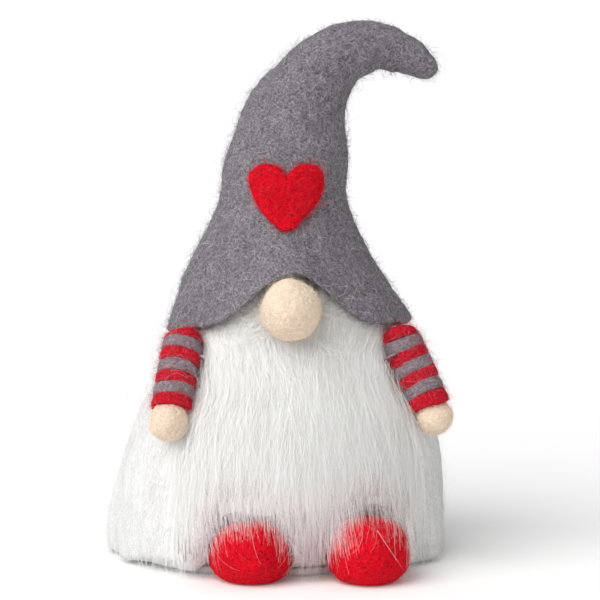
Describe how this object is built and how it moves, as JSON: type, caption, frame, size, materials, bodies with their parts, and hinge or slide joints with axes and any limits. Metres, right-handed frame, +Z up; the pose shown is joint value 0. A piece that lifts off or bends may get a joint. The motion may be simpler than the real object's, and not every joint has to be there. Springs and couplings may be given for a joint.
{
  "type": "tomte gnome figurine",
  "caption": "Felted wool gnome that stands on a flat base, with a tall curled hat, long fibre beard, wound striped arms and round feet.",
  "frame": {"origin": "centre of the flat underside of the base disc, which the gnome stands on", "axes": "+Z up, -Y towards the face, +X towards the side that the hat's tip curls over"},
  "size_m": [0.1419, 0.1478, 0.2243],
  "materials": {
    "grey_felt": "matte",
    "white_felt": "matte",
    "red_felt": "matte",
    "skin_felt": "matte",
    "beard_fibre": "satin",
    "red_roving": "matte",
    "grey_roving": "matte",
    "stuffing": "matte",
    "cotton": "matte",
    "grit": "matte",
    "wire": "satin"
  },
  "bodies": {
    "figure": {"robe": "white_felt", "body_core": "stuffing", "weight_bag": "cotton", "weight_grit": "grit", "bag_tie": "cotton", "base_disc": "white_felt", "foot_left": "red_felt", "foot_right": "red_felt", "head_ball": "white_felt", "nose": "skin_felt", "heart": "red_felt", "hat": "grey_felt", "hat_stuffing": "stuffing", "hat_wire": "wire", "beard_root": "beard_fibre", "shoulder_thread_left": "cotton", "shoulder_thread_right": "cotton"},
    "hat_tip": {"hat_tip": "grey_felt", "tip_wire": "wire"},
    "beard": {"beard_underlayer": "beard_fibre", "beard_lock_1": "beard_fibre", "beard_lock_2": "beard_fibre", "beard_lock_3": "beard_fibre", "beard_lock_4": "beard_fibre", "beard_lock_5": "beard_fibre", "beard_lock_6": "beard_fibre"},
    "arm_left": {"arm_core_left": "grey_roving", "hand_left": "skin_felt", "red_band_left_1": "red_roving", "grey_band_left_1": "grey_roving", "red_band_left_2": "red_roving", "grey_band_left_2": "grey_roving", "red_band_left_3": "red_roving", "grey_band_left_3": "grey_roving", "red_band_left_4": "red_roving"},
    "arm_right": {"arm_core_right": "grey_roving", "hand_right": "skin_felt", "red_band_right_1": "red_roving", "grey_band_right_1": "grey_roving", "red_band_right_2": "red_roving", "grey_band_right_2": "grey_roving", "red_band_right_3": "red_roving", "grey_band_right_3": "grey_roving", "red_band_right_4": "red_roving"}
  },
  "joints": [
    {"name": "hat_tip_bend", "type": "hinge", "parent": "figure", "child": "hat_tip", "pos_m": [0.0168, 0, 0.2008], "axis": [0, -1, 0], "range_deg": [-15, 20]},
    {"name": "beard_lift", "type": "hinge", "parent": "figure", "child": "beard", "pos_m": [0.004, -0.042, 0.098], "axis": [-1, 0, 0], "range_deg": [0, 20]},
    {"name": "arm_left_lift", "type": "hinge", "parent": "figure", "child": "arm_left", "pos_m": [-0.0412, -0.031, 0.088], "axis": [-0.9327, 0.3606, 0], "range_deg": [0, 40]},
    {"name": "arm_right_lift", "type": "hinge", "parent": "figure", "child": "arm_right", "pos_m": [0.0514, -0.033, 0.0886], "axis": [-0.5882, -0.8087, 0], "range_deg": [0, 40]}
  ]
}
